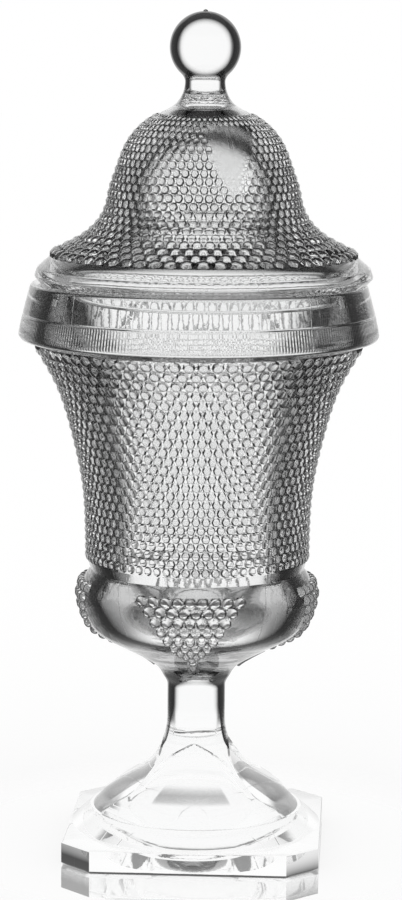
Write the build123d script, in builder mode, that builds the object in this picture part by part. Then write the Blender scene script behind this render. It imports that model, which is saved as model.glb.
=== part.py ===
from build123d import *
from math import atan, degrees, pi
import os

os.makedirs("parts", exist_ok=True)

# Covered urn of pressed glass, in millimetres. It stands on the plane z = 0, round its own axis,
# with the front towards -Y. Radii are measured from that axis, heights from what each part stands on.

# Foot: square slab with cut corners, round step, flare with an arched panel on each side, solid stem
slab_side = 79.0
slab_cut = 9.5
slab_thick = 7.3
slab_bevel = 0.9
step_inset = 0.5
step_rise = 5.4
step_lean = 5.9
step_edge = 0.6
shelf = 4.7
dome_rise = 31.3
stem_radius = 9.05
stem_length = 7.0
stem_flare = 4.0
joint_radius = 10.9
arch_rise = 21.5
arch_top_radius = 10.2
leg_inset = 0.9
hollow_radius = 28.0
hollow_rise = 6.0
match = 0.01

# Bowl: bulb, crease, flaring wall, wide collar round the mouth
bulb_radius = 36.8
bulb_rise = 26.0
crease_depth = 0.8
crease_rise = 7.2
band_radius = 34.1
band_rise = 2.8
wall_rise = 67.6
wall_thick = 3.6
floor_thick = 13.0
well_inset = 0.6
mouth_radius = 47.6
mouth_depth = 12.0
mouth_corner = 0.7
wall_lead = 2.5
lip_width = 4.3
lip_corner = 1.3
collar_rise = 18.6
collar_upper_flare = 2.45
collar_lower_flare = 1.55
collar_under_rise = 2.0
collar_lower_rise = 7.4
collar_crease = 0.3
collar_corner = 1.8

# Cover: seat flange, rounded rim, flaring dome, neck and ball. It lies a little to one side,
# as far as the play of its seat lets it.
cover_shift = 1.4
seat_play = 2.0
flange_thick = 3.2
flange_drop = 6.0
flange_corner = 0.8
flange_root = 0.3
rim_overhang = 0.3
rim_under = 2.0
rim_under_corner = 0.4
rim_belly_rise = 2.2
rim_shoulder = 0.9
rim_shoulder_rise = 4.9
rim_corner = 1.0
rim_slope = 4.6
flare_rise = 8.1
dome_radius = 29.1
dome_height = 26.6
crown_radius = 10.0
crown_rise = 54.1
cover_wall = 3.5
crown_thick = 4.0
neck_radius = 6.15
neck_rise = 8.9
ball_radius = 10.9
tip_radius = 1.6
tip_rise = 0.5

# Hobnails in staggered rows round the wall and the cover, as low six-sided points. They are
# coarser than the real ones, of which twice as many go round. The cover has a bare wedge at its
# front right that widens upwards; its heights are from the seat, its turns from the front.
wall_nails = 36
wall_nails_margin = 0.4
wall_row_share = 0.88
cover_nails = 30
cover_nails_margin = 0.8
cover_row_share = 0.77
cover_row_least = 5.0
nail_rise_share = 0.13
bare_low = 27.8
bare_high = 49.3
bare_turn = 24.0
bare_low_half = 2.0
bare_high_half = 23.0

# Shapes of the curved stretches, each as shares of the way from its lower to its upper end
panel_shape = [(0, 0), (0.425, 0.29), (0.87, 0.68), (1, 1)]
leg_shape = [(0, 0), (0.114, 0.256), (0.473, 0.451), (0.782, 0.772), (1, 1)]
bulb_shape = [(0, 0), (0.21, 0.19), (0.63, 0.415), (0.85, 0.57), (0.96, 0.79), (1, 1)]
wall_shape = [(0, 0), (0.01, 0.16), (0.06, 0.34), (0.26, 0.58), (0.58, 0.82), (1, 1)]
flare_shape = [(0, 0), (0.39, 0.21), (0.71, 0.44), (0.89, 0.67), (1, 1)]
crown_shape = [(0, 0), (0.12, 0.29), (0.28, 0.58), (0.64, 0.86), (1, 1)]


def between(low, high, shape):
    return [
        (low[0] + across * (high[0] - low[0]), low[1] + up * (high[1] - low[1]))
        for across, up in shape
    ]


# The lines that bound the rows of hobnails, as distances along the outline that they go round
def row_lines(outline, margin, count, share, least=0):
    lines = [margin]
    after = margin
    while after < outline.length - margin:
        pitch = 2 * pi * outline.position_at(lines[-1], position_mode=PositionMode.LENGTH).X / count
        after = lines[-1] + max(share * pitch, least)
        lines.append(after)
    return lines[:-1]


# A solid round the axis whose side is rows of hobnails on the outline. It fills the space inside
# and ends flat at the first line and at the last.
def hobnailed(outline, lines, count, shift=0, bare=lambda turn, height: False):
    def place(column, reach, lift=0):
        spot = outline.position_at(reach, position_mode=PositionMode.LENGTH)
        way = outline.tangent_at(reach, position_mode=PositionMode.LENGTH)
        front = Vector(0, -spot.X - lift * way.Y, spot.Y - lift * way.X)
        return front.rotate(Axis.Z, column * 180 / count) + Vector(shift, 0, 0)

    # Between two rows the corners stand a little above and below the line by turns
    rings = []
    for line, reach in enumerate(lines):
        bend = 0
        if 0 < line < len(lines) - 1:
            bend = (lines[line + 1] - lines[line - 1]) / 12
        signs = [1 if (column + line) % 2 else -1 for column in range(2 * count)]
        rings.append([place(column, reach + sign * bend) for column, sign in enumerate(signs)])

    sides = []
    for row, (low, high) in enumerate(zip(lines, lines[1:])):
        middle = outline.position_at((low + high) / 2, position_mode=PositionMode.LENGTH)
        pitch = 2 * pi * middle.X / count
        for left in range(row % 2, 2 * count, 2):
            columns = [(left + step) % (2 * count) for step in range(3)]
            corners = [rings[row][column] for column in columns]
            corners += [rings[row + 1][column] for column in reversed(columns)]
            rise = 0 if bare((left + 1) * 180 / count, middle.Y) else nail_rise_share * pitch
            point = place(left + 1, (low + high) / 2, rise)
            for corner, after in zip(corners, corners[1:] + corners[:1]):
                sides.append(Face(Wire.make_polygon([corner, after, point])))
    ends = [Face(Wire.make_polygon(ring)) for ring in (rings[0], rings[-1])]
    return Solid(Shell(sides + ends))


def height_at(outline, reach):
    return outline.position_at(reach, position_mode=PositionMode.LENGTH).Y


# Heights above the surface that the urn stands on
step_top = slab_thick + step_rise
stem_low = step_top + dome_rise
stem_high = stem_low + stem_length
joint = stem_high + stem_flare
bulb = joint + bulb_rise
crease = bulb + crease_rise
band = crease + band_rise
wall_top = band + wall_rise
seat = wall_top + collar_rise

crease_radius = band_radius - crease_depth
wall_top_radius = mouth_radius + wall_lead
collar_top_radius = mouth_radius + lip_width
collar_crease_radius = collar_top_radius + collar_upper_flare
collar_low_radius = collar_crease_radius + collar_lower_flare
step_low_radius = slab_side / 2 - step_inset
step_high_radius = step_low_radius - step_lean
panel_foot = (step_high_radius - shelf, step_top)
arch_top = (arch_top_radius, step_top + arch_rise)

# What each side's panel leaves free. Where it cuts the round flare, its edge is an arch.
with BuildPart() as panel_void:
    with BuildSketch(Plane.YZ):
        with BuildLine():
            panel = Spline(*between(panel_foot, arch_top, panel_shape), tangents=[(-0.45, 1), (-0.2, 1)])
            Polyline(
                panel @ 1,
                (arch_top_radius + shelf, step_top + arch_rise + shelf),
                (slab_side, step_top + arch_rise + shelf),
                (slab_side, step_top),
                panel @ 0,
            )
        make_face()
    extrude(amount=slab_side, both=True)

with BuildPart() as foot:
    # Round flare and stem in one turn, cut back to a panel on each side
    with BuildSketch(Plane.XZ):
        with BuildLine():
            leg_foot = (step_high_radius - leg_inset, step_top)
            leg = Spline(*between(leg_foot, arch_top, leg_shape), tangents=[(0, 1), (-0.4, 1)])
            waist = Spline(leg @ 1, (stem_radius, stem_low), tangents=[(-0.4, 1), (0, 1)])
            stem = Line(waist @ 1, (stem_radius, stem_high))
            flare = Spline(stem @ 1, (joint_radius, joint), tangents=[(0, 1), (0.45, 1)])
            Polyline(flare @ 1, (0, joint), (0, step_top), leg @ 0)
        make_face()
    revolve()
    with PolarLocations(0, 4):
        add(panel_void.part, mode=Mode.SUBTRACT)
    # Square slab with cut corners
    with BuildSketch():
        Rectangle(slab_side, slab_side)
        chamfer(vertices(), slab_cut)
    extrude(amount=slab_thick)
    # Round step
    with BuildSketch(Plane.XY.offset(slab_thick)):
        Circle(step_low_radius)
    extrude(amount=step_rise, taper=degrees(atan(step_lean / step_rise)))
    # Shallow hollow under the slab
    with BuildSketch(Plane.XZ):
        with BuildLine():
            vault = Spline(
                (hollow_radius, 0), (0.6 * hollow_radius, 0.78 * hollow_rise), (0, hollow_rise),
                tangents=[(-0.5, 1), (-1, 0)],
            )
            Polyline(vault @ 1, (0, 0), vault @ 0)
        make_face()
    revolve(mode=Mode.SUBTRACT)
    chamfer(
        edges().filter_by(Plane.XY).filter_by(GeomType.LINE).group_by(Axis.Z)[0], slab_bevel
    )
    fillet(
        edges().filter_by(GeomType.CIRCLE).filter_by(lambda e: abs(e.radius - step_high_radius) < match),
        step_edge,
    )

with BuildPart() as plain_bowl:
    with BuildSketch(Plane.XZ):
        with BuildLine():
            under = Spline(
                *between((joint_radius, joint), (bulb_radius, bulb), bulb_shape),
                tangents=[(0.45, 1), (0, 1)],
            )
            shoulder = Spline(under @ 1, (crease_radius, crease), tangents=[(0, 1), (-0.75, 1)])
            plain = Line(shoulder @ 1, (band_radius, band))
            wall = Spline(
                *between((band_radius, band), (wall_top_radius, wall_top), wall_shape),
                tangents=[(0, 1), (0.6, 1)],
            )
            rim = FilletPolyline(
                wall @ 1,
                (collar_low_radius, wall_top + collar_under_rise),
                (collar_crease_radius, wall_top + collar_under_rise + collar_lower_rise),
                (collar_top_radius, seat),
                (mouth_radius, seat),
                (mouth_radius, seat - mouth_depth),
                radius=[collar_corner, collar_crease, lip_corner, mouth_corner],
            )
            inner_low = (band_radius - wall_thick, band)
            inner_high = (wall_top_radius - wall_thick, wall_top)
            throat = Line(rim @ 1, inner_high)
            inner = Spline(
                *between(inner_low, inner_high, wall_shape)[::-1], tangents=[(-0.6, -1), (0, -1)]
            )
            floor = joint + floor_thick
            well = Spline(
                inner @ 1,
                (crease_radius - wall_thick - well_inset, bulb),
                (0.62 * bulb_radius, floor + 0.2 * floor_thick),
                (0, floor),
                tangents=[(0, -1), (-1, 0)],
            )
            Polyline(well @ 1, (0, joint), under @ 0)
        make_face()
    revolve()

wall_lines = row_lines(wall, wall_nails_margin, wall_nails, wall_row_share)
nails_low, nails_high = height_at(wall, wall_lines[0]), height_at(wall, wall_lines[-1])

with BuildPart() as wall_sleeve:
    add(hobnailed(wall, wall_lines, wall_nails))
    with BuildSketch(Plane.XZ):
        with BuildLine():
            add([throat, inner, well])
            Polyline(well @ 1, (0, (throat @ 0).Y), throat @ 0)
        make_face()
    revolve(mode=Mode.SUBTRACT)

# The hobnailed sleeve takes the place of the smooth wall between its ends
with BuildPart() as bowl:
    add(plain_bowl.part)
    with BuildSketch(Plane.XY.offset(nails_low)):
        Circle(wall_top_radius + wall_thick)
    extrude(amount=nails_high - nails_low, mode=Mode.SUBTRACT)
    add(wall_sleeve.part)

cover_axis = Plane.XZ.offset(0).move(Location((cover_shift, 0, 0)))
crown = seat + crown_rise
dome_top = seat + dome_height
ball_low = crown + neck_rise
ball = ball_low + (ball_radius**2 - neck_radius**2) ** 0.5
flange_radius = mouth_radius - seat_play
rim_radius = collar_top_radius + rim_overhang
flare_radius = rim_radius - rim_slope

with BuildPart() as plain_lid:
    with BuildSketch(cover_axis):
        with BuildLine():
            edge = FilletPolyline(
                (flange_radius - flange_thick, seat),
                (flange_radius - flange_thick, seat - flange_drop),
                (flange_radius, seat - flange_drop),
                (flange_radius, seat),
                (rim_radius - rim_under, seat),
                (rim_radius, seat + rim_belly_rise),
                (rim_radius - rim_shoulder, seat + rim_shoulder_rise),
                (flare_radius, seat + flare_rise),
                radius=[
                    flange_corner, flange_corner, flange_root, rim_under_corner, rim_corner, rim_corner
                ],
            )
            flare_foot = (flare_radius, seat + flare_rise)
            flare_top = (dome_radius, dome_top)
            skirt = Spline(*between(flare_foot, flare_top, flare_shape), tangents=[(-1, 0.6), (-0.14, 1)])
            shell = Spline(
                *between(flare_top, (crown_radius, crown), crown_shape), tangents=[(-0.14, 1), (-1, 0.6)]
            )
            neck = Spline(shell @ 1, (neck_radius, ball_low), tangents=[(-1, 0.6), (0, 1)])
            knob = ThreePointArc(
                neck @ 1, (ball_radius, ball), (tip_radius, ball + (ball_radius**2 - tip_radius**2) ** 0.5)
            )
            nib = Spline(knob @ 1, (0, ball + ball_radius + tip_rise), tangents=[(-0.3, 1), (-1, 0)])
            inside_foot = (flange_radius - flange_thick, seat)
            inside_top = (dome_radius - cover_wall, dome_top)
            vault_shape = [(0, 0), (0.35, 0.25), (0.68, 0.5), (0.88, 0.72), (1, 1)]
            inside = Spline(*between(inside_foot, inside_top, vault_shape), tangents=[(0, 1), (-0.14, 1)])
            ceiling = Spline(
                inside @ 1,
                (0.82 * (dome_radius - cover_wall), dome_top + 0.5 * (crown - dome_top)),
                (0, crown - crown_thick),
                tangents=[(-0.14, 1), (-1, 0)],
            )
            Line(ceiling @ 1, nib @ 1)
        make_face()
    revolve(axis=Axis((cover_shift, 0, 0), (0, 0, 1)))


def is_bare(turn, height):
    share = (height - seat - bare_low) / (bare_high - bare_low)
    half = bare_low_half + share * (bare_high_half - bare_low_half)
    return 0 < share < 1 and abs(turn - bare_turn) < half


dome = Wire([skirt, shell])
cover_lines = row_lines(dome, cover_nails_margin, cover_nails, cover_row_share, cover_row_least)
nails_low, nails_high = height_at(dome, cover_lines[0]), height_at(dome, cover_lines[-1])

with BuildPart() as cover_sleeve:
    add(hobnailed(dome, cover_lines, cover_nails, cover_shift, is_bare))
    with BuildSketch(cover_axis):
        with BuildLine():
            add([inside, ceiling])
            Polyline(ceiling @ 1, (0, seat), inside @ 0)
        make_face()
    revolve(axis=Axis((cover_shift, 0, 0), (0, 0, 1)), mode=Mode.SUBTRACT)

with BuildPart() as lid:
    add(plain_lid.part)
    with BuildSketch(Plane.XY.offset(nails_low)):
        Circle(rim_radius)
    extrude(amount=nails_high - nails_low, mode=Mode.SUBTRACT)
    add(cover_sleeve.part)

foot.part.label = "foot"
bowl.part.label = "bowl"
lid.part.label = "lid"

export_step(foot.part, "parts/foot.step")
export_step(bowl.part, "parts/bowl.step")
export_step(lid.part, "parts/lid.step")
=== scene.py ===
from math import acos, asin, atan2, cos, degrees, hypot, pi, radians, sin, sqrt, tan

import bmesh
import bpy
import numpy as np
from mathutils import Matrix, Vector


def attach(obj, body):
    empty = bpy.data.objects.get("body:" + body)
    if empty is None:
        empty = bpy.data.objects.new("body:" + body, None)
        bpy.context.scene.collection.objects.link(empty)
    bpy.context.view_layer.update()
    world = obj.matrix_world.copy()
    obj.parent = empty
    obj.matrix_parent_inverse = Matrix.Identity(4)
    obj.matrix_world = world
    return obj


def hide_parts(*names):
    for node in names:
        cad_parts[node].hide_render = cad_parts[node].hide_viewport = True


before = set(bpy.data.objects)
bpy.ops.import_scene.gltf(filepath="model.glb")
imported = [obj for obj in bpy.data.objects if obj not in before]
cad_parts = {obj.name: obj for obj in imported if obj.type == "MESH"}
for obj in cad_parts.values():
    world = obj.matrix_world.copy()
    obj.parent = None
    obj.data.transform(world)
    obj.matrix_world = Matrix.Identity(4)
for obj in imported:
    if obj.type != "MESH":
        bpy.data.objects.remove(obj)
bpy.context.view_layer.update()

# Sizes are in millimetres and heights are from the surface that the urn stands on. Meshes are
# built in millimetres too, and scaled to metres when they are finished.
mm = 0.001


# A smooth curve through points, clamped to a direction at each end, cut into short runs
def smoothPath(points, startWay, endWay, gap):
    p = np.array(points, float)
    run = np.linalg.norm(np.diff(p, axis=0), axis=1)
    count = len(p)
    matrix = np.eye(count)
    right = np.zeros_like(p)
    right[0] = np.array(startWay) / hypot(*startWay)
    right[-1] = np.array(endWay) / hypot(*endWay)
    for i in range(1, count - 1):
        matrix[i, i - 1:i + 2] = run[i], 2 * (run[i - 1] + run[i]), run[i - 1]
        right[i] = 3 * (run[i] * (p[i] - p[i - 1]) / run[i - 1] + run[i - 1] * (p[i + 1] - p[i]) / run[i])
    way = np.linalg.solve(matrix, right)
    path = [tuple(p[0])]
    for i in range(count - 1):
        steps = max(1, round(run[i] / gap))
        for k in range(1, steps + 1):
            t = k / steps
            a, b = 2 * t**3 - 3 * t**2 + 1, t**3 - 2 * t**2 + t
            c, d = 3 * t**2 - 2 * t**3, t**3 - t**2
            path.append(tuple(a * p[i] + b * run[i] * way[i] + c * p[i + 1] + d * run[i] * way[i + 1]))
    return path


# A run of straight lines whose inner corners are rounded, each corner as (radius, height, rounding)
def roundedPath(corners, steps=4):
    path = [corners[0][:2]]
    for before, here, after in zip(corners, corners[1:], corners[2:]):
        a, b, c = (Vector(point[:2]) for point in (before, here, after))
        u, v = (a - b).normalized(), (c - b).normalized()
        half = u.angle(v) / 2
        centre = b + (u + v).normalized() * here[2] / sin(half)
        start = b + u * here[2] / tan(half) - centre
        end = b + v * here[2] / tan(half) - centre
        first = atan2(start.y, start.x)
        sweep = (atan2(end.y, end.x) - first + pi) % (2 * pi) - pi
        for k in range(steps + 1):
            angle = first + sweep * k / steps
            path.append((centre.x + here[2] * cos(angle), centre.y + here[2] * sin(angle)))
    path.append(corners[-1][:2])
    return path


def between(low, high, shape):
    return [(low[0] + x * (high[0] - low[0]), low[1] + y * (high[1] - low[1])) for x, y in shape]


# A line of (radius, height) points that can be walked along, and what points out of the glass there
class Outline:
    def __init__(self, points):
        self.points = np.array(points)
        steps = np.linalg.norm(np.diff(self.points, axis=0), axis=1)
        self.reach = np.concatenate([[0], np.cumsum(steps)])
        self.length = self.reach[-1]

    def at(self, reach):
        return tuple(float(np.interp(reach, self.reach, self.points[:, k])) for k in (0, 1))

    def outward(self, reach, half=0.15):
        low, high = self.at(max(reach - half, 0)), self.at(min(reach + half, self.length))
        size = hypot(high[0] - low[0], high[1] - low[1])
        return (high[1] - low[1]) / size, (low[0] - high[0]) / size

    # The point at an angle round the axis and a distance along the line, lifted off it
    def place(self, angle, reach, lift=0.0, shift=0.0):
        radius, height = self.at(reach)
        nr, nz = self.outward(reach)
        radius += lift * nr
        return Vector((shift + radius * sin(angle), -radius * cos(angle), height + lift * nz))


# Each hobnail is a six-sided cell that rises through two rings to a blunt point. Ring sizes are
# shares of the cell, rises are shares of the distance from one hobnail to the next.
nail = {"rings": [(1.0, 0.0), (0.72, 0.66)], "top": 1.0, "width": 0.455, "tall": 0.56, "rise": 0.34}


# Distances along an outline at which rows of hobnails have their middles
def nailRows(outline, spec):
    reaches = []
    reach = spec["nailStart"]
    while reach < outline.length - spec["nailEnd"]:
        reaches.append(reach)
        pitch = 2 * pi * outline.at(reach)[0] / spec["nails"]
        reach += max(spec["rowShare"] * pitch, spec["rowLeast"])
    return reaches


# Rows of hobnails as a flat sheet of six-sided cells, which is rolled round the outline at the end.
# In the flat sheet a cell is one unit wide and rows are one unit apart.
def hobnailSheet(bm, outline, spec, shift=0.0, height=lambda angle, level: 1.0):
    reaches = nailRows(outline, spec)
    rows, count = len(reaches), spec["nails"]
    bmesh.ops.create_grid(bm, x_segments=2 * count + 1, y_segments=rows, size=0.5)
    bmesh.ops.scale(bm, vec=(count + 0.5, rows, 1), verts=bm.verts[:])
    bmesh.ops.translate(bm, vec=(count / 2 + 0.25, rows / 2, 0), verts=bm.verts[:])
    # Rows end half a cell apart by turns, and their ends meet when the sheet is rolled
    ends = []
    for face in bm.faces:
        centre = face.calc_center_median()
        column, row = int(2 * centre.x), int(centre.y)
        if column == (0 if row % 2 else 2 * count):
            ends.append(face)
    bmesh.ops.delete(bm, geom=ends, context="FACES")
    # Every second upright edge goes, a different one in each row, which leaves bricks
    spare = []
    for edge in bm.edges:
        a, b = (v.co for v in edge.verts)
        column, row = round(2 * a.x), int(min(a.y, b.y) + 0.5)
        if abs(a.x - b.x) < 0.1 and len(edge.link_faces) == 2 and (column + row) % 2 == 1:
            spare.append(edge)
    bmesh.ops.dissolve_edges(bm, edges=spare)
    # The bricks' long sides bend into the six-sided cells' corners
    for v in bm.verts:
        column, line = round(2 * v.co.x), round(v.co.y)
        if 0 < line < rows:
            v.co.y += 1 / 6 if (column + line) % 2 else -1 / 6
    plain = [e for e in bm.edges if {v.co.y for v in e.verts} not in ({0.0}, {float(rows)})]
    bmesh.ops.bisect_edges(bm, edges=plain, cuts=1)
    cells = []
    for face in bm.faces:
        xs, ys = [v.co.x for v in face.verts], [v.co.y for v in face.verts]
        x, row = (min(xs) + max(xs)) / 2, min(int((min(ys) + max(ys)) / 2), rows - 1)
        rise = height(2 * pi * x / count, outline.at(reaches[row])[1])
        if rise > 0:
            pitch = 2 * pi * outline.at(reaches[row])[0] / count
            cells.append((face, x, row + 0.5, rise * nail["rise"] * pitch))
    faces = [cell[0] for cell in cells]
    for size, share in nail["rings"]:
        bmesh.ops.inset_individual(bm, faces=faces, thickness=0.01)
        for face, x, y, rise in cells:
            for v in face.verts:
                away = Vector(((v.co.x - x) / nail["width"], (v.co.y - y) / nail["tall"])).normalized()
                v.co = (x + nail["width"] * size * away.x, y + nail["tall"] * size * away.y, rise * share)
    tops = bmesh.ops.poke(bm, faces=faces)["verts"]
    rises = {(round(2 * x), round(2 * y)): rise for _, x, y, rise in cells}
    for v in tops:
        v.co.z = rises[round(2 * v.co.x), round(2 * v.co.y)] * nail["top"]
    first, last = reaches[1] - reaches[0], reaches[-1] - reaches[-2]
    lines = [reaches[0] - first, *reaches, reaches[-1] + last]
    places = [k - 0.5 for k in range(rows + 2)]
    for v in bm.verts:
        reach = float(np.interp(v.co.y, places, lines))
        v.co = outline.place(2 * pi * v.co.x / count, reach, v.co.z, shift)
    return reaches[0] - first / 2, reaches[-1] + last / 2


# Turns a line of (radius, height) points round the axis
def spinLine(bm, points, columns, shift=0.0):
    verts = [bm.verts.new((shift, -r, z)) for r, z in points]
    edges = [bm.edges.new(pair) for pair in zip(verts, verts[1:])]
    bmesh.ops.spin(
        bm, geom=verts + edges, cent=(shift, 0, 0), axis=(0, 0, 1), dvec=(0, 0, 0),
        angle=2 * pi, steps=columns, use_merge=True,
    )


def finishMesh(bm, name, body, nodes, material, sharpAngle=32):
    bmesh.ops.remove_doubles(bm, verts=bm.verts[:], dist=0.002)
    bmesh.ops.dissolve_degenerate(bm, edges=bm.edges[:], dist=0.0005)
    bmesh.ops.recalc_face_normals(bm, faces=bm.faces[:])
    bmesh.ops.scale(bm, vec=(mm, mm, mm), verts=bm.verts[:])
    openEdges = sum(not edge.is_manifold for edge in bm.edges)
    mesh = bpy.data.meshes.new(name)
    bm.to_mesh(mesh)
    bm.free()
    mesh.polygons.foreach_set("use_smooth", [True] * len(mesh.polygons))
    mesh.set_sharp_from_angle(angle=radians(sharpAngle))
    mesh.materials.append(material)
    piece = bpy.data.objects.new(name, mesh)
    bpy.context.scene.collection.objects.link(piece)
    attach(piece, body)
    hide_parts(*nodes)
    mesh.calc_loop_triangles()
    print(name, len(mesh.loop_triangles), "triangles,", openEdges, "open edges")
    return piece


# Shader maths as Python expressions: a wire is a socket, and an expression adds the nodes behind it
class Wire:
    def __init__(self, tree, socket):
        self.tree = tree
        self.socket = socket

    def maths(self, operation, *others, first=None):
        node = self.tree.nodes.new("ShaderNodeMath")
        node.operation = operation
        for place, value in enumerate((self if first is None else first, *others)):
            if isinstance(value, Wire):
                self.tree.links.new(value.socket, node.inputs[place])
            else:
                node.inputs[place].default_value = value
        return Wire(self.tree, node.outputs[0])

    def __add__(self, other):
        return self.maths("ADD", other)

    def __sub__(self, other):
        return self.maths("SUBTRACT", other)

    def __rsub__(self, other):
        return self.maths("SUBTRACT", self, first=other)

    def __mul__(self, other):
        return self.maths("MULTIPLY", other)

    __radd__ = __add__
    __rmul__ = __mul__


class Shader:
    def __init__(self, block):
        block.use_nodes = True
        self.tree = block.node_tree
        self.tree.nodes.clear()

    # One node: its type, its own settings, then what its sockets get. It gives its first output,
    # or the one that is named.
    def add(self, kind, settings=None, output=0, **sockets):
        node = self.tree.nodes.new(kind)
        for key, value in (settings or {}).items():
            setattr(node, key, value)
        for key, value in sockets.items():
            fitting = [s for s in node.inputs if s.name.replace(" ", "") == key.rstrip("12") and s.enabled]
            socket = fitting[int(key[-1]) - 1] if key[-1] in "12" else fitting[0]
            if isinstance(value, Wire):
                self.tree.links.new(value.socket, socket)
            else:
                socket.default_value = value
        return Wire(self.tree, node.outputs[output]) if node.outputs else None

    def outputs(self, wire):
        return [Wire(self.tree, socket) for socket in wire.socket.node.outputs]

    # Nought below one value and one above the other, with a soft step between them
    def step(self, value, low, high):
        return self.add("ShaderNodeMapRange", {"interpolation_type": "SMOOTHSTEP"},
                        Value=value, FromMin=low, FromMax=high)

    def within(self, value, low, high, soft):
        return self.step(value, low - soft, low + soft) * (1 - self.step(value, high - soft, high + soft))


# Clear pressed glass: slow waves and a fine orange peel in the surface, mould seams and faint smudges.
# Its colour has painted shade, near black where the surface turns away, and painted light at the very rim
glassSurfaceAndPaintedShade = {
    "tint": (0.985, 0.988, 0.988, 1), "edgeTint": (0.0008, 0.0008, 0.0008, 1),
    "edgeStart": 0.20, "edgeEnd": 0.40, "rimStart": 0.55, "rimEnd": 0.85,
    "ior": 1.5, "rough": 0.02, "smudge": 0.03, "smudgeScale": 38.0, "smudgeFrom": 0.48, "smudgeTo": 0.75,
    "waves": 70.0, "peel": 520.0, "peelShare": 0.08,
    "seamWidth": 0.00028, "seamShare": 0.3, "bump": 0.16, "bumpDepth": 0.0006,
}


def makeGlass(name, spec, seams, paintedShadeAt, hazeAt=None, reliefAt=None):
    material = bpy.data.materials.new(name)
    s = Shader(material)
    place = s.add("ShaderNodeTexCoord", output="Object")
    x, y, z = s.outputs(s.add("ShaderNodeSeparateXYZ", Vector=place))
    waves = s.add("ShaderNodeTexNoise", Vector=place, Scale=spec["waves"], Detail=1.5, Roughness=0.4)
    peel = s.add("ShaderNodeTexNoise", Vector=place, Scale=spec["peel"], Detail=2.0, Roughness=0.5)
    height = waves + peel * spec["peelShare"]
    for turn, offset in seams:
        away = ((x - offset) * cos(radians(turn)) + y * sin(radians(turn))).maths("ABSOLUTE")
        height = height + (1 - s.step(away, 0, spec["seamWidth"])) * spec["seamShare"]
    if reliefAt:
        height = height + reliefAt(s, x, y, z)
    bump = s.add("ShaderNodeBump", Strength=spec["bump"], Distance=spec["bumpDepth"], Height=height)
    smudges = s.add(
        "ShaderNodeTexNoise", Vector=place, Scale=spec["smudgeScale"], Detail=5.0, Roughness=0.6,
    )
    rough = s.step(smudges, spec["smudgeFrom"], spec["smudgeTo"]) * spec["smudge"] + spec["rough"]
    if hazeAt:
        rough = rough + hazeAt(s, x, y, z)
    # Painted shade: the glass colour goes near black where the surface turns away, later or earlier by
    # region, and painted light makes it lighter again at the very rim
    facing = s.add("ShaderNodeLayerWeight", output="Facing", Blend=0.5)
    late, light = paintedShadeAt(s, x, y, z)
    edge = s.step(facing - late, spec["edgeStart"], spec["edgeEnd"])
    edge = edge * (1 - s.step(facing, spec["rimStart"], spec["rimEnd"]) * light)
    tintAndPaintedShade = s.add(
        "ShaderNodeMix", {"data_type": "RGBA"}, output=2, Factor=edge, A=spec["tint"], B=spec["edgeTint"],
    )
    body = s.add(
        "ShaderNodeBsdfPrincipled", BaseColor=tintAndPaintedShade, IOR=spec["ior"], Roughness=rough,
        TransmissionWeight=1.0, Normal=bump,
    )
    s.add("ShaderNodeOutputMaterial", Surface=body)
    return material


# Urn: a square slab with cut corners, a round step, a flare with an arched panel on each side, a
# stem, a bulb with four clusters of hobnails, a hobnailed wall and a wide plain collar
foot = {
    "slabSide": 79.0, "slabCut": 9.5, "slabThick": 7.3, "topRound": 0.35, "bottomBevel": 0.9,
    "stepInset": 0.5, "stepRise": 5.4, "stepLean": 5.9, "stepEdge": 0.6, "shelf": 4.7,
    "archRise": 21.5, "archRadius": 10.2, "legInset": 0.9, "stemLow": 44.0, "stemHigh": 51.0,
    "stemRadius": 9.05, "joint": 55.0, "jointRadius": 10.9, "hollowRadius": 30.0, "hollowRise": 3.0,
    "hollowBend": (0.6, 0.78), "archWay": (-0.4, 1), "jointWay": (0.45, 1), "rowsUnderArch": 17,
    "fallsFromTop": (3.2, 2.4, 1.7, 1.1, 0.65, 0.3, 0.08, 0), "panelFlat": 0.6,
    "legShape": [(0, 0), (0.114, 0.256), (0.473, 0.451), (0.782, 0.772), (1, 1)],
    "panelShape": [(0, 0), (0.425, 0.29), (0.87, 0.68), (1, 1)],
    "panelColumns": 11, "evenRise": 7.0, "dent": 1.7, "dentEdge": 1.9,
}
bowl = {
    "bulbRadius": 36.8, "bulb": 81.0, "creaseRadius": 33.3, "crease": 88.2,
    "bandRadius": 34.1, "band": 91.0, "wallTopRadius": 50.1, "wallTop": 158.6,
    "wallThick": 3.6, "floorThick": 13.0, "wellInset": 0.6, "wellBend": (0.62, 0.2),
    "collarLow": (55.9, 160.6), "collarCrease": (54.35, 168.0), "collarTopRadius": 51.9, "seat": 177.2,
    "collarCorner": 1.8, "groove": [(0.08, -0.38), (-0.3, 0), (-0.1, 0.38)], "grooveCorner": 0.06,
    "lipCorner": 1.3, "mouthRadius": 47.6, "mouthDepth": 12.0, "mouthCorner": 0.7,
    "bulbShape": [(0, 0), (0.21, 0.19), (0.63, 0.415), (0.85, 0.57), (0.96, 0.79), (1, 1)],
    "wallShape": [(0, 0), (0.01, 0.16), (0.06, 0.34), (0.26, 0.58), (0.58, 0.82), (1, 1)],
    "ribs": 340, "nails": 72, "nailStart": 1.65, "nailEnd": 1.9, "rowShare": 0.88, "rowLeast": 0.0,
}
urnColumns = 2 * bowl["nails"]
quarterColumns = urnColumns // 4

slabTop = foot["slabThick"]
stepTop = slabTop + foot["stepRise"]
stepLowRadius = foot["slabSide"] / 2 - foot["stepInset"]
stepHighRadius = stepLowRadius - foot["stepLean"]
panelFoot = (stepHighRadius - foot["shelf"], stepTop)
archTop = (foot["archRadius"], stepTop + foot["archRise"])
legFoot = (stepHighRadius - foot["legInset"], stepTop)

legLine = np.array(smoothPath(between(legFoot, archTop, foot["legShape"]), (0, 1), foot["archWay"], 0.4))
panelLine = np.array(smoothPath(
    between(panelFoot, archTop, foot["panelShape"]), (-0.45, 1), (-0.2, 1), 0.4,
))


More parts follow.
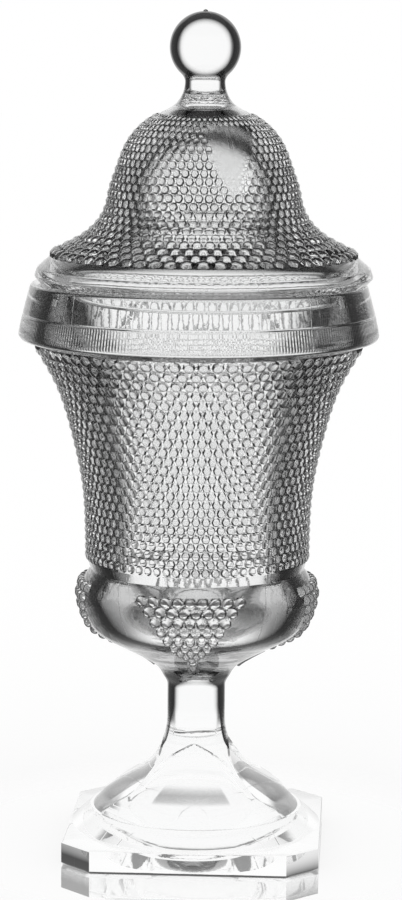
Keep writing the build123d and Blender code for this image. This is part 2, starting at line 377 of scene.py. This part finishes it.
# Slab outline pulled in by an inset, on one of the columns; the cut corners fall on columns
def slabPoint(column, inset):
    side = foot["slabSide"] / 2 - inset
    cut = foot["slabSide"] - foot["slabCut"] - inset * sqrt(2)
    angle = 2 * pi * column / urnColumns
    quarter = angle % (pi / 2)
    corner = atan2(cut - side, side)
    for spot in (corner, pi / 2 - corner):
        if abs(quarter - spot) < pi / urnColumns:
            angle += spot - quarter
    c, s = abs(cos(angle)), abs(sin(angle))
    radius = min(side / max(c, s), cut / (c + s))
    return radius * sin(angle), -radius * cos(angle)


# Where the flare stands at a height on one of the columns: on the flat panel or the round leg.
# Above the arches the columns spread evenly again.
def flarePoint(column, radius, height):
    side = round(column / quarterColumns)
    step = column - side * quarterColumns
    leg = panel = radius
    if height < archTop[1]:
        leg = float(np.interp(height, legLine[:, 1], legLine[:, 0]))
        panel = min(float(np.interp(height, panelLine[:, 1], panelLine[:, 0])), leg)
    edge = acos(panel / leg)
    half = sqrt(max(leg**2 - panel**2, 0))
    inner = foot["panelColumns"]
    outer = quarterColumns // 2 - inner
    if abs(step) <= inner:
        turn = atan2(half * step / inner, panel)
        # The panel is flat at its top and rounds out towards its foot
        flat = min(max((height - stepTop) / foot["archRise"], 0), 1) ** foot["panelFlat"]
        radius = panel / cos(turn) * flat + leg * (1 - flat)
        x, y = radius * sin(turn), -radius * cos(turn)
        # It is also pressed in a little, most crisply near its top
        rim = min(half * (1 - abs(step) / inner) / foot["dentEdge"], 1)
        y += foot["dent"] * flat * rim**2 * (3 - 2 * rim)
    else:
        turn = edge + (pi / 4 - edge) * (abs(step) - inner) / outer
        turn *= 1 if step > 0 else -1
        x, y = leg * sin(turn), -leg * cos(turn)
    if height > archTop[1]:
        even = min((height - archTop[1]) / foot["evenRise"], 1)
        turn = atan2(x, -y) * (1 - even) + 2 * pi * step / urnColumns * even
        x, y = leg * sin(turn), -leg * cos(turn)
    turn = side * pi / 2
    return x * cos(turn) - y * sin(turn), x * sin(turn) + y * cos(turn)


print("foot, stem and bulb")
wallStart, wallEnd = (bowl["bandRadius"], bowl["band"]), (bowl["wallTopRadius"], bowl["wallTop"])
wallLine = Outline(smoothPath(between(wallStart, wallEnd, bowl["wallShape"]), (0, 1), (0.6, 1), 0.25))
bm = bmesh.new()
wallLow, wallHigh = hobnailSheet(bm, wallLine, bowl)
print("wall", round(wallLine.length, 2), "from", round(wallLow, 2), "to", round(wallHigh, 2))

hollowBend = (foot["hollowBend"][0] * foot["hollowRadius"], foot["hollowBend"][1] * foot["hollowRise"])
hollow = smoothPath(
    [(0, foot["hollowRise"]), hollowBend, (foot["hollowRadius"], 0)], (1, 0), (0.5, -1), 4,
)
bevel, corner = foot["bottomBevel"], foot["topRound"]
slabRows = [(0, bevel + 0.12), (0.06, bevel), (bevel, 0.06), (bevel + 0.14, 0)]
slabRows += [(slabTop - corner, 0), (slabTop - 0.3 * corner, 0.3 * corner), (slabTop, corner)]
step = roundedPath([(stepLowRadius, slabTop), (stepHighRadius, stepTop, foot["stepEdge"]), legFoot])
nearTop = [archTop[1] - fall for fall in foot["fallsFromTop"]]
heights = list(np.linspace(stepTop, nearTop[0] - 0.9, foot["rowsUnderArch"]))[1:] + nearTop
flare = [(float(np.interp(h, legLine[:, 1], legLine[:, 0])), h) for h in heights]
stem = smoothPath([archTop, (foot["stemRadius"], foot["stemLow"])], foot["archWay"], (0, 1), 1.3)[1:]
stem += [(foot["stemRadius"], foot["stemHigh"])]
bulbLow = (foot["jointRadius"], foot["joint"])
bulbHigh = (bowl["bulbRadius"], bowl["bulb"])
stem += smoothPath([stem[-1], bulbLow], (0, 1), foot["jointWay"], 0.7)[1:]
under = smoothPath(between(bulbLow, bulbHigh, bowl["bulbShape"]), foot["jointWay"], (0, 1), 1.5)
shoulder = smoothPath([under[-1], (bowl["creaseRadius"], bowl["crease"])], (0, 1), (-0.75, 1), 1.1)
bulbLine = Outline(under + shoulder[1:])
line = hollow + [(40 + 0.01 * k, z) for k, (z, inset) in enumerate(slabRows)] + step + flare + stem
line += under[1:] + shoulder[1:] + [wallLine.at(0), wallLine.at(wallLow)]
slabAt = {len(hollow) + k: inset for k, (z, inset) in enumerate(slabRows)}
flareStart = len(hollow) + len(slabRows) + len(step) - 1
flareAt = set(range(flareStart, flareStart + 1 + len(flare) + len(stem)))

lower = bmesh.new()
row = lower.verts.layers.int.new("row")
verts = [lower.verts.new((0, -r, z)) for r, z in line]
for k, v in enumerate(verts):
    v[row] = k
edges = [lower.edges.new(pair) for pair in zip(verts, verts[1:])]
bmesh.ops.spin(
    lower, geom=verts + edges, cent=(0, 0, 0), axis=(0, 0, 1), dvec=(0, 0, 0),
    angle=2 * pi, steps=urnColumns, use_merge=True,
)
for v in lower.verts:
    column = round(atan2(v.co.x, -v.co.y) / (2 * pi) * urnColumns) % urnColumns
    if v[row] in slabAt:
        v.co.x, v.co.y = slabPoint(column, slabAt[v[row]])
    elif v[row] in flareAt:
        v.co.x, v.co.y = flarePoint(column, line[v[row]][0], v.co.z)

# Four clusters on the bulb, each row with one smaller hobnail less than the row above, then a ridge
cluster = {
    "rows": 9, "pitch": 3.85, "shrink": 0.028, "rowGap": 3.25, "start": 5.2, "rise": 1.45,
    "width": 0.44, "tall": 0.5, "marginUp": 0.9, "marginAside": 0.8, "ridgeMargin": 1.3,
    "ridgeLow": (12.8, 57.4), "ridgeHigh": (22.0, 62.6), "ridgeHalf": 1.7, "ridgeRise": 0.9, "cuts": 3,
}


def clusterLift(angle, radius, height):
    side = (angle + pi / 4) % (pi / 2) - pi / 4
    across = side * radius
    reach = float(np.interp(height, bulbLine.points[:, 1], bulbLine.reach))
    lift = 0.0
    for number in range(cluster["rows"]):
        along = bulbLine.length - cluster["start"] - number * cluster["rowGap"] - reach
        if abs(along) < cluster["rowGap"]:
            here = cluster["rows"] - number
            pitch = cluster["pitch"] * (1 - cluster["shrink"] * number)
            spot = round(across / pitch + (here - 1) / 2)
            spot = min(max(spot, 0), here - 1) - (here - 1) / 2
            aside = (across - spot * pitch) / (cluster["width"] * pitch)
            size = aside**2 + (along / (cluster["tall"] * cluster["rowGap"]))**2
            if size < 1:
                lift = max(lift, cluster["rise"] * sqrt(1 - size))
    if cluster["ridgeLow"][1] < height < cluster["ridgeHigh"][1]:
        lift = max(lift, cluster["ridgeRise"] * (1 - min(abs(across) / cluster["ridgeHalf"], 1) ** 2))
    return lift


def inCluster(face):
    centre = face.calc_center_median()
    radius = hypot(centre.x, centre.y)
    side = (atan2(centre.x, -centre.y) + pi / 4) % (pi / 2) - pi / 4
    if centre.z < cluster["ridgeLow"][1] - 1 or centre.z > bowl["crease"] - 1:
        return False
    if radius < cluster["ridgeLow"][0] - 1:
        return False
    reach = float(np.interp(centre.z, bulbLine.points[:, 1], bulbLine.reach))
    down = (bulbLine.length - cluster["start"] - reach) / cluster["rowGap"]
    across = max(cluster["rows"] + cluster["marginAside"] - down, cluster["ridgeMargin"])
    return down > -cluster["marginUp"] and abs(side) * radius < across * cluster["pitch"] / 2


chosen = [face for face in lower.faces if inCluster(face)]
bmesh.ops.subdivide_edges(
    lower, edges=list({edge for face in chosen for edge in face.edges}), cuts=cluster["cuts"],
    use_grid_fill=True,
)
for v in lower.verts:
    if cluster["ridgeLow"][1] - 1 < v.co.z < bowl["crease"] - 0.5 and hypot(v.co.x, v.co.y) > 12:
        angle, radius = atan2(v.co.x, -v.co.y), hypot(v.co.x, v.co.y)
        lift = clusterLift(angle, radius, v.co.z)
        if lift > 0:
            reach = float(np.interp(v.co.z, bulbLine.points[:, 1], bulbLine.reach))
            v.co = bulbLine.place(angle, reach, lift)
lowerMesh = bpy.data.meshes.new("lowerDraft")
lower.to_mesh(lowerMesh)
lower.free()
bm.from_mesh(lowerMesh)

print("collar and inside")
collar = roundedPath([
    wallLine.at(wallLine.length), (*bowl["collarLow"], bowl["collarCorner"]),
    *[
        (bowl["collarCrease"][0] + r, bowl["collarCrease"][1] + z, bowl["grooveCorner"])
        for r, z in bowl["groove"]
    ],
    (bowl["collarTopRadius"], bowl["seat"], bowl["lipCorner"]),
    (bowl["mouthRadius"], bowl["seat"], bowl["mouthCorner"]),
    (bowl["mouthRadius"], bowl["seat"] - bowl["mouthDepth"]),
])
innerLow = (bowl["bandRadius"] - bowl["wallThick"], bowl["band"])
innerHigh = (bowl["wallTopRadius"] - bowl["wallThick"], bowl["wallTop"])
inner = smoothPath(between(innerLow, innerHigh, bowl["wallShape"])[::-1], (-0.6, -1), (0, -1), 5)
floorHeight = foot["joint"] + bowl["floorThick"]
well = smoothPath([
    innerLow,
    (bowl["creaseRadius"] - bowl["wallThick"] - bowl["wellInset"], bowl["bulb"]),
    (bowl["wellBend"][0] * bowl["bulbRadius"], floorHeight + bowl["wellBend"][1] * bowl["floorThick"]),
    (0, floorHeight),
], (0, -1), (-1, 0), 2.6)
spinLine(bm, [wallLine.at(wallHigh)] + collar + inner + well[1:], urnColumns)


# Fine upright ribs round the lower band of the collar
def collarRibs(s, x, y, z):
    turn = x.maths("ARCTAN2", y * -1)
    inside, outside = bowl["mouthRadius"] + 2.4, bowl["collarTopRadius"] + 0.1
    across = s.step((x * x + y * y).maths("SQRT"), inside * mm, outside * mm)
    low, high = bowl["collarLow"][1] + 0.8, bowl["collarCrease"][1] - 0.6
    band = s.within(z, low * mm, high * mm, 0.3 * mm)
    return (turn * bowl["ribs"]).maths("SINE") * across * band


# Painted shade: how much later the dark edges start, and how much painted light lifts them at the very rim
urnPaintedShadeAmounts = {
    "flareLate": 0.5, "flareLight": 0.5, "panelEarly": 0.48, "bulbLate": 0.07, "bulbLight": 0.3,
    "wallLate": 0.02, "wallLight": 0.5, "collarLate": 0.1, "collarLight": 0.4,
    "panelLow": (15, 19), "panelAside": (0.5, 0.62), "flareHigh": (30, 46), "bulbLow": 56,
}


# Where on the urn the painted dark edges start later or earlier, and where painted light lifts them at the
# rim
def urnPaintedShadeRegions(s, x, y, z):
    ax, ay = x.maths("ABSOLUTE"), y.maths("ABSOLUTE")
    aslant = ax.maths("MINIMUM", ay).maths("DIVIDE", ax.maths("MAXIMUM", ay))
    low, high = (height * mm for height in urnPaintedShadeAmounts["panelLow"])
    panel = (1 - s.step(aslant, *urnPaintedShadeAmounts["panelAside"])) * s.step(z, low, high)
    slab = s.step(z, (foot["slabThick"] - 0.3) * mm, (foot["slabThick"] - 0.1) * mm)
    low, high = (height * mm for height in urnPaintedShadeAmounts["flareHigh"])
    flare = slab * (1 - s.step(z, low, high))
    bulb = s.within(z, urnPaintedShadeAmounts["bulbLow"] * mm, bowl["band"] * mm, 1 * mm)
    wall = s.within(z, bowl["band"] * mm, bowl["wallTop"] * mm, 1 * mm)
    collar = s.within(z, bowl["wallTop"] * mm, (bowl["seat"] + 1) * mm, 0.5 * mm)
    late = flare * (urnPaintedShadeAmounts["flareLate"] - panel * urnPaintedShadeAmounts["panelEarly"]) + bulb * urnPaintedShadeAmounts["bulbLate"]
    late = late + wall * urnPaintedShadeAmounts["wallLate"] + collar * urnPaintedShadeAmounts["collarLate"]
    light = flare * urnPaintedShadeAmounts["flareLight"] + bulb * urnPaintedShadeAmounts["bulbLight"]
    return late, light + wall * urnPaintedShadeAmounts["wallLight"] + collar * urnPaintedShadeAmounts["collarLight"]


# Clear glass whose colour has painted shade at its turned-away edges and painted light at the very rim
urnGlassAndPaintedShade = makeGlass("urnClearGlassWithPaintedShade", glassSurfaceAndPaintedShade, [(45, 0), (-45, 0)], urnPaintedShadeRegions, reliefAt=collarRibs)
urnGlass = finishMesh(bm, "urnGlass", "urn", ("foot", "bowl"), urnGlassAndPaintedShade)

print("cover")
cover = {
    "shift": 1.4, "flangeRadius": 45.6, "flangeThick": 3.2, "flangeDrop": 6.0, "flangeCorner": 0.8,
    "seat": 177.2, "rimRadius": 52.2, "rimUnder": 2.0, "rimBelly": 2.2, "rimShoulder": 0.9,
    "rimShoulderRise": 4.9, "rimCorner": 1.0, "flareRadius": 47.6, "flareRise": 8.1, "domeRadius": 29.1,
    "domeTop": 203.8, "crownRadius": 10.0, "crown": 231.3, "wall": 3.5, "crownThick": 4.0,
    "neckRadius": 6.15, "ballLow": 240.2, "ballRadius": 10.9, "ballBlend": 2.4,
    "tipRadius": 0.8, "tipRise": 0.5,
    "noseRadius": 5.4, "noseRise": 1.8, "slopeWay": (-1, 0.6), "sideWay": (-0.14, 1),
    "ceilingBend": (0.82, 0.5), "ballSteps": 28,
    "flareShape": [(0, 0), (0.39, 0.21), (0.71, 0.44), (0.89, 0.67), (1, 1)],
    "crownShape": [(0, 0), (0.12, 0.29), (0.28, 0.58), (0.64, 0.86), (1, 1)],
    "vaultShape": [(0, 0), (0.35, 0.25), (0.68, 0.5), (0.88, 0.72), (1, 1)],
    "nails": 60, "nailStart": 2.3, "nailEnd": 6.0, "rowShare": 0.77, "rowLeast": 2.52,
}
top = cover["seat"]
flangeInner = cover["flangeRadius"] - cover["flangeThick"]
edgeLine = roundedPath([
    (flangeInner, top),
    (flangeInner, top - cover["flangeDrop"], cover["flangeCorner"]),
    (cover["flangeRadius"], top - cover["flangeDrop"], cover["flangeCorner"]),
    (cover["flangeRadius"], top, 0.3),
    (cover["rimRadius"] - cover["rimUnder"], top, 0.4),
    (cover["rimRadius"], top + cover["rimBelly"], cover["rimCorner"]),
    (cover["rimRadius"] - cover["rimShoulder"], top + cover["rimShoulderRise"], cover["rimCorner"]),
    (cover["flareRadius"], top + cover["flareRise"]),
])
flareTop = (cover["domeRadius"], cover["domeTop"])
crown = (cover["crownRadius"], cover["crown"])
skirt = smoothPath(
    between(edgeLine[-1], flareTop, cover["flareShape"]), cover["slopeWay"], cover["sideWay"], 0.25,
)
shell = smoothPath(
    between(flareTop, crown, cover["crownShape"]), cover["sideWay"], cover["slopeWay"], 0.25,
)
coverLine = Outline(skirt + shell[1:])

# A wedge at the front right is bare, and the hobnails beside it are lower
bare = {
    "low": 205.0, "high": 226.5, "middle": 24.0, "lowHalf": 2.0, "highHalf": 21.0, "fade": 7.0,
    "lean": 0.28, "haze": 0.12,
}


def nailHeight(angle, level):
    share = (level - bare["low"]) / (bare["high"] - bare["low"])
    if not 0 < share < 1:
        return 1.0
    half = bare["lowHalf"] + share * (bare["highHalf"] - bare["lowHalf"])
    away = abs((degrees(angle) - bare["middle"] + 180) % 360 - 180) - half
    return min(max(away / bare["fade"], 0), 1)


# Painted shade on the cover: how much later the dark edges start, and how much painted light lifts them at
# the very rim
coverPaintedShadeAmounts = {
    "rimLate": 0.3, "rimLight": 0.8, "saddleLate": 0.25, "saddleLight": 0.7, "domeLate": 0.02,
    "domeLight": 0.5,
}


# Where on the cover the painted dark edges start later, and where painted light lifts them at the rim
def coverPaintedShadeRegions(s, x, y, z):
    rim = 1 - s.step(z, (cover["seat"] + cover["rimShoulderRise"]) * mm, (cover["seat"] + 8) * mm)
    saddle = s.within(z, (cover["crown"] - 1) * mm, (cover["ballLow"] - 4) * mm, 1 * mm)
    dome = (1 - rim) * (1 - s.step(z, (cover["crown"] - 2) * mm, cover["crown"] * mm))
    late = rim * coverPaintedShadeAmounts["rimLate"] + saddle * coverPaintedShadeAmounts["saddleLate"] + dome * coverPaintedShadeAmounts["domeLate"]
    light = rim * coverPaintedShadeAmounts["rimLight"] + saddle * coverPaintedShadeAmounts["saddleLight"]
    return late, light + dome * coverPaintedShadeAmounts["domeLight"]


def wedgeHaze(s, x, y, z):
    turn = radians(bare["middle"])
    side = (x * cos(turn) + y * sin(turn)).maths("ABSOLUTE")
    ahead = x * sin(turn) - y * cos(turn)
    inside = s.within(z, bare["low"] * mm, bare["high"] * mm, 2 * mm) * s.step(ahead, 0, 5 * mm)
    spread = (z - bare["low"] * mm) * bare["lean"] + mm
    return inside * (1 - s.step(side - spread, -mm, 2 * mm)) * bare["haze"]


lid = bmesh.new()
coverLow, coverHigh = hobnailSheet(lid, coverLine, cover, cover["shift"], nailHeight)
print("cover wall", round(coverLine.length, 2), "from", round(coverLow, 2), "to", round(coverHigh, 2))
coverColumns = 2 * cover["nails"]
ballCentre = cover["ballLow"] + sqrt(cover["ballRadius"] ** 2 - cover["neckRadius"] ** 2)
ballStart = asin((cover["ballLow"] + 0.4 * cover["ballBlend"] - ballCentre) / cover["ballRadius"])
ballEnd = acos(cover["tipRadius"] / cover["ballRadius"])
knob = []
for k in range(cover["ballSteps"] + 1):
    turn = ballStart + (ballEnd - ballStart) * k / cover["ballSteps"]
    knob.append((cover["ballRadius"] * cos(turn), ballCentre + cover["ballRadius"] * sin(turn)))
tipTop = (0, ballCentre + cover["ballRadius"] + cover["tipRise"])
nib = smoothPath([knob[-1], tipTop], (-0.3, 1), (-1, 0), 0.3)
neckTop = (cover["neckRadius"], cover["ballLow"] - 0.6 * cover["ballBlend"])
neck = smoothPath([coverLine.at(coverLine.length), neckTop], cover["slopeWay"], (0, 1), 0.7)
neck += smoothPath([neckTop, knob[0]], (0, 1), (-sin(ballStart), cos(ballStart)), 0.3)[1:]
spinLine(lid, edgeLine + [coverLine.at(coverLow)], coverColumns, cover["shift"])
rest = [coverLine.at(coverHigh + (coverLine.length - coverHigh) * k / 4) for k in range(5)]
spinLine(lid, rest + neck[1:] + knob[1:] + nib[1:], coverColumns, cover["shift"])
insideTop = (cover["domeRadius"] - cover["wall"], cover["domeTop"])
inside = smoothPath(between(edgeLine[0], insideTop, cover["vaultShape"]), (0, 1), cover["sideWay"], 2)
ceilingX, ceilingZ = cover["ceilingBend"]
ceiling = smoothPath([
    insideTop,
    (ceilingX * insideTop[0], cover["domeTop"] + ceilingZ * (cover["crown"] - cover["domeTop"])),
    (cover["noseRadius"], cover["crown"] - cover["crownThick"]),
], cover["sideWay"], (-1, 0.12), 2)
noseTop = (0, cover["crown"] - cover["crownThick"] + cover["noseRise"])
nose = smoothPath([ceiling[-1], noseTop], (-0.2, 1), (-1, 0), 0.6)
spinLine(lid, inside + ceiling[1:] + nose[1:], coverColumns, cover["shift"])
# Clear glass whose colour has painted shade at its turned-away edges and painted light at the very rim
coverGlassAndPaintedShade = makeGlass(
    "coverClearGlassWithPaintedShade", glassSurfaceAndPaintedShade, [(bare["middle"], cover["shift"] * mm)], coverPaintedShadeRegions, hazeAt=wedgeHaze,
)
coverGlass = finishMesh(lid, "coverGlass", "cover", ("lid",), coverGlassAndPaintedShade)

print("camera")
shot = {
    "azimuth": 3.3, "distance": 914.9, "height": 262.6, "pitch": 8.54, "yaw": -0.058, "roll": 0.42,
    "lens": 119.2,
}
cameraData = bpy.data.cameras.new("camera")
cameraData.lens = shot["lens"]
cameraData.clip_start, cameraData.clip_end = 0.01, 100
camera = bpy.data.objects.new("camera", cameraData)
bpy.context.scene.collection.objects.link(camera)
bpy.context.scene.camera = camera
azimuth = radians(shot["azimuth"])
camera.matrix_world = (
    Matrix.Translation((
        shot["distance"] * mm * sin(azimuth), -shot["distance"] * mm * cos(azimuth), shot["height"] * mm
    ))
    @ Matrix.Rotation(azimuth + radians(shot["yaw"]), 4, "Z")
    @ Matrix.Rotation(radians(90 - shot["pitch"]), 4, "X")
    @ Matrix.Rotation(radians(shot["roll"]), 4, "Z")
)

# Bright-field light: the background is white. In the glass and through it, it is white behind the
# urn, and dimmer at its sides, in front and above. The floor keeps the urn's shadow.
print("floor and light")
room = {
    "back": 34.0, "up": 36.0, "side": 0.32, "front": 0.6, "frontFrom": 105.0, "above": 0.3, "soft": 4.0,
    "floorNear": 0.03, "floorFar": 0.12, "matt": 0.4, "gloss": 0.6, "glossFrom": 0.07, "glossTo": 0.11,
}


def roomAngle(s, x, y):
    ahead = y * cos(azimuth) - x * sin(azimuth)
    aside = x * cos(azimuth) + y * sin(azimuth)
    return aside.maths("ARCTAN2", ahead)


# How bright the room is in the directions round the urn, as they are seen through the glass
def aroundRoom(s, angle):
    soft = radians(room["soft"])
    back = s.within(angle, -radians(room["back"]), radians(room["back"]), soft)
    front = 1 - s.within(angle, -radians(room["frontFrom"]), radians(room["frontFrom"]), soft)
    return back * (1 - room["side"]) + front * (room["front"] - room["side"]) + room["side"]


# Rays that show the background in the glass. The floor's own mirror sees it plain white.
def raysInGlass(s):
    named = {wire.socket.name: wire for wire in s.outputs(s.add("ShaderNodeLightPath"))}
    gloss = named["Is Glossy Ray"] * (1 - named["Is Singular Ray"])
    return gloss.maths("MAXIMUM", named["Is Transmission Ray"])


world = bpy.data.worlds.new("studio")
bpy.context.scene.world = world
s = Shader(world)
direction = s.add("ShaderNodeTexCoord", output="Generated")
x, y, z = s.outputs(s.add("ShaderNodeSeparateXYZ", Vector=direction))
angle = roomAngle(s, x, y)
lift = z.maths("ARCSINE")
low = 1 - s.step(lift, radians(room["up"] - room["soft"]), radians(room["up"] + room["soft"]))
behind = aroundRoom(s, angle) * low + (1 - low) * room["above"]
light = 1 - raysInGlass(s) * (1 - behind)
s.add("ShaderNodeOutputWorld", Surface=s.add("ShaderNodeBackground", Strength=light, Color=(1, 1, 1, 1)))

floorMesh = bmesh.new()
bmesh.ops.create_circle(floorMesh, cap_ends=True, segments=64, radius=6)
mesh = bpy.data.meshes.new("floor")
floorMesh.to_mesh(mesh)
floorMesh.free()
floor = bpy.data.objects.new("floor", mesh)
bpy.context.scene.collection.objects.link(floor)
paper = bpy.data.materials.new("glossyWhiteBoard")
mesh.materials.append(paper)
s = Shader(paper)
spot = s.add("ShaderNodeTexCoord", output="Object")
x, y, z = s.outputs(s.add("ShaderNodeSeparateXYZ", Vector=spot))
reach = (x * x + y * y).maths("SQRT")
far = s.step(reach, room["floorNear"], room["floorFar"])
inGlass = 1 - far * (1 - aroundRoom(s, roomAngle(s, x, y)))
rigFloor = s.add("ShaderNodeEmission", Color=(1, 1, 1, 1), Strength=inGlass)
glow = s.add("ShaderNodeEmission", Color=(1, 1, 1, 1), Strength=1.0)
matt = s.add("ShaderNodeBsdfDiffuse", Color=(1, 1, 1, 1))
board = s.add("ShaderNodeMixShader", Fac=room["matt"], Shader1=glow, Shader2=matt)
mirror = s.add("ShaderNodeBsdfGlossy", Color=(1, 1, 1, 1), Roughness=0.0)
near = (1 - s.step(reach, room["glossFrom"], room["glossTo"])) * room["gloss"]
seen = s.add("ShaderNodeMixShader", Fac=near, Shader1=board, Shader2=mirror)
s.add(
    "ShaderNodeOutputMaterial",
    Surface=s.add("ShaderNodeMixShader", Fac=raysInGlass(s), Shader1=seen, Shader2=rigFloor),
)

scene = bpy.context.scene
scene.view_settings.view_transform = "Standard"
scene.cycles.max_bounces = 24
scene.cycles.transmission_bounces = 24
scene.cycles.glossy_bounces = 8
scene.cycles.caustics_reflective = False
scene.cycles.caustics_refractive = False

print("done")
